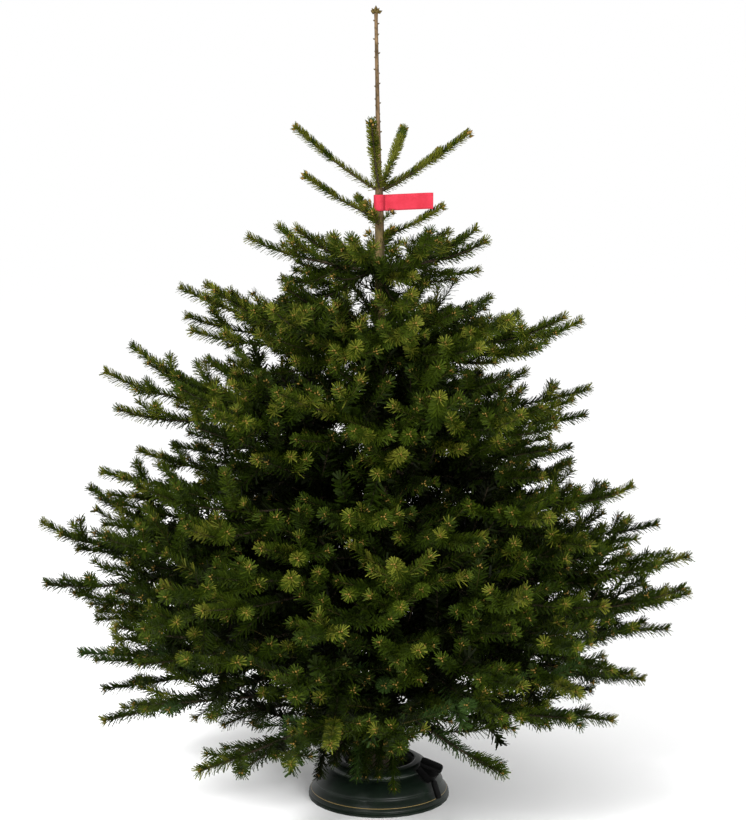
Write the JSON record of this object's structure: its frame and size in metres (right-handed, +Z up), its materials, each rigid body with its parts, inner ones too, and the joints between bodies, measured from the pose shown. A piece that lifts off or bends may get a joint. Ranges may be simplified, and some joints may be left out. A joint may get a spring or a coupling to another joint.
{
  "type": "christmas tree",
  "caption": "Cut fir christmas tree, broad and dense, with a bare leader above its top whorl and a blank pink tag, clamped in a round dark green stand with a black foot lever.",
  "frame": {"origin": "middle of the stand's flat underside, straight below the foot of the trunk", "axes": "+Z up the trunk; the stand's foot lever is towards +X and -Y, and the tag hangs out towards +X"},
  "size_m": [1.6038, 1.485, 1.985],
  "materials": {
    "bark": "matte",
    "needles": "satin",
    "stand": "satin",
    "lever": "satin",
    "tag": "matte"
  },
  "bodies": {
    "root": {"eighth_bough_1": "bark", "eighth_bough_2": "bark", "eighth_bough_3": "bark", "eighth_mass_1": "needles", "eighth_mass_2": "needles", "eighth_mass_3": "needles", "fifth_bough_1": "bark", "fifth_bough_2": "bark", "fifth_bough_3": "bark", "fifth_mass_1": "needles", "fifth_mass_2": "needles", "fifth_mass_3": "needles", "foot_pedal": "lever", "fourth_bough_1": "bark", "fourth_bough_2": "bark", "fourth_bough_3": "bark", "fourth_mass_1": "needles", "fourth_mass_2": "needles", "fourth_mass_3": "needles", "lever_housing": "lever", "low_shoot_back": "needles", "low_shoot_left": "needles", "low_shoot_right": "needles", "release_latch": "lever", "second_mass_1": "needles", "second_mass_2": "needles", "second_mass_3": "needles", "second_mass_4": "needles", "second_mass_5": "needles", "seventh_bough_1": "bark", "seventh_bough_2": "bark", "seventh_bough_3": "bark", "seventh_mass_1": "needles", "seventh_mass_2": "needles", "seventh_mass_3": "needles", "sixth_bough_1": "bark", "sixth_bough_2": "bark", "sixth_bough_3": "bark", "sixth_mass_1": "needles", "sixth_mass_2": "needles", "sixth_mass_3": "needles", "stand_base": "stand", "stand_bowl": "stand", "stand_claw_1": "stand", "stand_claw_2": "stand", "stand_claw_3": "stand", "stand_shell": "stand", "tag": "tag", "third_bough_1": "bark", "third_bough_2": "bark", "third_bough_3": "bark", "third_mass_1": "needles", "third_mass_2": "needles", "third_mass_3": "needles", "top_shoot_back": "needles", "top_shoot_front": "needles", "top_shoot_left": "needles", "top_shoot_right": "needles", "top_shoot_right_back": "needles", "trunk": "bark"}
  },
  "joints": []
}
